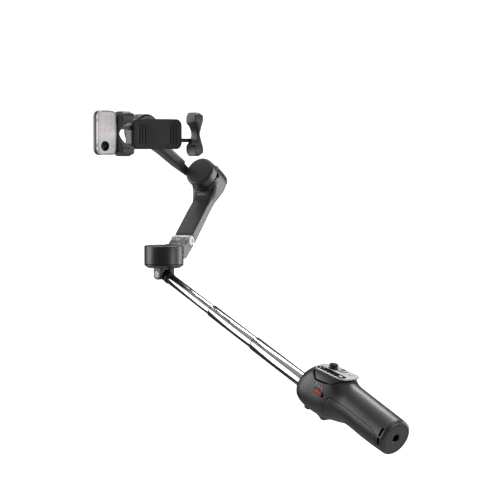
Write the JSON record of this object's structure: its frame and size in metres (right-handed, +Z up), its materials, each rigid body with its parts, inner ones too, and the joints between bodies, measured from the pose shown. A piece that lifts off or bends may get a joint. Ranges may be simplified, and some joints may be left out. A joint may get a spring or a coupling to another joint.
{
  "type": "smartphone gimbal",
  "caption": "Hand-held phone gimbal: handle with remote, telescopic rod, folding arm, pan, roll and swivel motors, sprung phone clamp and tracking module.",
  "frame": {"origin": "centre of the tripod socket's mouth in the handle's end cap", "axes": "+Z up along the pan axis, +X to the user's right, +Y away from the user; the phone's screen would face -Y and the rod rises 24 degrees towards +Y"},
  "size_m": [0.1588, 0.3193, 0.2652],
  "materials": {
    "dark_plastic": "fine matte dark grey",
    "black_gloss": "glossy black",
    "black_plastic": "matte black",
    "silver_plastic": "satin silver",
    "tube_chrome": "dark chrome",
    "polished_pin": "bright machined steel",
    "red_plastic": "satin red",
    "rubber_pad": "matte black",
    "copper_winding": "enamelled copper",
    "magnet_metal": "plain dark steel",
    "socket_metal": "blackened steel",
    "circuit_board": "green board",
    "cell_wrap": "blue wrap",
    "lens_glass": "black optical",
    "lamp_lens": "pale diffuser"
  },
  "bodies": {
    "handle": {"handle_shell": "dark_plastic", "grip_cover": "dark_plastic", "end_cap": "dark_plastic", "tripod_nut": "socket_metal", "rod_liner": "black_plastic", "nose_ring": "black_plastic", "battery_cell": "cell_wrap", "main_board": "circuit_board", "dock_plate": "black_plastic", "usb_port": "polished_pin", "indicator_lens": "lamp_lens"},
    "power_switch": {"power_slider": "red_plastic"},
    "trigger": {"trigger": "dark_plastic"},
    "front_button": {"underside_button": "black_plastic"},
    "remote": {"remote_case": "dark_plastic", "remote_panel": "silver_plastic", "touch_strip": "black_gloss", "remote_board": "circuit_board"},
    "joystick_ring": {"joystick_ring": "black_plastic"},
    "joystick": {"joystick_stick": "black_plastic", "joystick_cap": "rubber_pad"},
    "zoom_dial": {"zoom_wheel": "silver_plastic"},
    "dial_button": {"wheel_button": "dark_plastic"},
    "mode_button": {"mode_button": "silver_plastic"},
    "tube_3": {"tube_3": "tube_chrome"},
    "tube_2": {"tube_2": "tube_chrome"},
    "tube_1": {"tube_1": "tube_chrome", "rod_head": "black_plastic"},
    "fork": {"fork_base": "dark_plastic", "tilt_pin": "polished_pin", "pan_stator": "copper_winding", "pan_bearing": "magnet_metal"},
    "pan_head": {"pan_housing": "dark_plastic", "pan_magnet_ring": "magnet_metal", "pan_shaft": "polished_pin", "lower_link": "dark_plastic", "fold_barrel": "polished_pin"},
    "arm": {"arm_shell": "dark_plastic", "arm_cover": "dark_plastic", "arm_eye": "polished_pin", "roll_stator": "copper_winding", "roll_bearing": "magnet_metal"},
    "bracket": {"bracket": "dark_plastic", "roll_magnet_ring": "magnet_metal", "roll_shaft": "polished_pin", "roll_disc": "dark_plastic", "swivel_stator": "copper_winding", "swivel_bearing": "polished_pin"},
    "clamp": {"swivel_rotor": "magnet_metal", "clamp_housing": "dark_plastic", "clamp_pad": "rubber_pad", "clamp_spring": "polished_pin"},
    "pinion": {"clamp_pinion": "silver_plastic"},
    "left_jaw": {"jaw_left": "dark_plastic"},
    "right_jaw": {"jaw_right": "dark_plastic"},
    "tracker": {"tracker_shell": "dark_plastic", "tracker_rim": "silver_plastic", "tracker_face": "lamp_lens", "tracker_lens": "lens_glass", "tracker_board": "circuit_board"}
  },
  "joints": [
    {"name": "rod_stage_3", "type": "slide", "parent": "handle", "child": "tube_3", "axis": [0, -0.9135, -0.4067], "range_m": [0, 0.046]},
    {"name": "rod_stage_2", "type": "slide", "parent": "tube_3", "child": "tube_2", "axis": [0, -0.9135, -0.4067], "range_m": [0, 0.054]},
    {"name": "rod_stage_1", "type": "slide", "parent": "tube_2", "child": "tube_1", "axis": [0, -0.9135, -0.4067], "range_m": [0, 0.054]},
    {"name": "head_tilt", "type": "hinge", "parent": "tube_1", "child": "fork", "pos_m": [0, 0.27652, 0.11282], "axis": [1, 0, 0], "range_deg": [-66, 24]},
    {"name": "pan", "type": "hinge", "parent": "fork", "child": "pan_head", "pos_m": [0, 0.27652, 0.11282], "axis": [0, 0, 1], "range_deg": [-160, 160]},
    {"name": "arm_fold", "type": "hinge", "parent": "pan_head", "child": "arm", "pos_m": [0.02859, 0.28526, 0.14032], "axis": [0.2924, -0.9563, 0], "range_deg": [0, 100]},
    {"name": "roll", "type": "hinge", "parent": "arm", "child": "bracket", "pos_m": [-0.0027, 0.27652, 0.23582], "axis": [0.8282, 0.2532, -0.5], "range_deg": [-60, 60]},
    {"name": "swivel", "type": "hinge", "parent": "bracket", "child": "clamp", "pos_m": [-0.0027, 0.27652, 0.23582], "axis": [0, 1, 0], "range_deg": [-95, 95]},
    {"name": "pinion_turn", "type": "hinge", "parent": "clamp", "child": "pinion", "pos_m": [-0.0027, 0.28612, 0.23282], "axis": [0, 1, 0], "range_deg": [-106, 111]},
    {"name": "left_jaw_slide", "type": "slide", "parent": "clamp", "child": "left_jaw", "axis": [-1, 0, 0], "range_m": [-0.0069, 0.0066]},
    {"name": "right_jaw_slide", "type": "slide", "parent": "clamp", "child": "right_jaw", "axis": [1, 0, 0], "range_m": [-0.0069, 0.0066]},
    {"name": "tracker_release", "type": "slide", "parent": "left_jaw", "child": "tracker", "axis": [-1, 0, 0], "range_m": [0, 0.03]},
    {"name": "remote_release", "type": "slide", "parent": "handle", "child": "remote", "axis": [0, -0.2504, 0.9681], "range_m": [0, 0.03]},
    {"name": "joystick_pitch", "type": "hinge", "parent": "remote", "child": "joystick_ring", "pos_m": [0.0022, 0.07082, 0.04672], "axis": [1, 0, 0], "range_deg": [-15, 15], "stiffness_Nm_per_rad": 0.01},
    {"name": "joystick_yaw", "type": "hinge", "parent": "joystick_ring", "child": "joystick", "pos_m": [0.0022, 0.07082, 0.04672], "axis": [0, 0.9681, 0.2504], "range_deg": [-15, 15], "stiffness_Nm_per_rad": 0.01},
    {"name": "zoom_dial_turn", "type": "hinge", "parent": "remote", "child": "zoom_dial", "pos_m": [0.005, 0.06277, 0.04588], "axis": [0, -0.2504, 0.9681], "continuous": true},
    {"name": "dial_button_press", "type": "slide", "parent": "remote", "child": "dial_button", "axis": [0, 0.2504, -0.9681], "range_m": [0, 0.0006], "stiffness_N_per_m": 300, "springref_m": -0.0005},
    {"name": "mode_button_press", "type": "slide", "parent": "remote", "child": "mode_button", "axis": [0, 0.2504, -0.9681], "range_m": [0, 0.0006], "stiffness_N_per_m": 300, "springref_m": -0.0005},
    {"name": "power_switch_slide", "type": "slide", "parent": "handle", "child": "power_switch", "axis": [0, -0.9135, -0.4067], "range_m": [0, 0.0022]},
    {"name": "trigger_pull", "type": "hinge", "parent": "handle", "child": "trigger", "pos_m": [0, 0.08081, 0.01518], "axis": [-1, 0, 0], "range_deg": [0, 7], "stiffness_Nm_per_rad": 0.05, "springref_deg": -8.59},
    {"name": "front_button_press", "type": "slide", "parent": "handle", "child": "front_button", "axis": [0, -0.4067, 0.9135], "range_m": [0, 0.001], "stiffness_N_per_m": 400, "springref_m": -0.0005}
  ],
  "couplings": [
    {"joint": "right_jaw_slide", "follows": "left_jaw_slide", "ratio": 1},
    {"joint": "pinion_turn", "follows": "left_jaw_slide", "rad_per_m": -277.78}
  ]
}
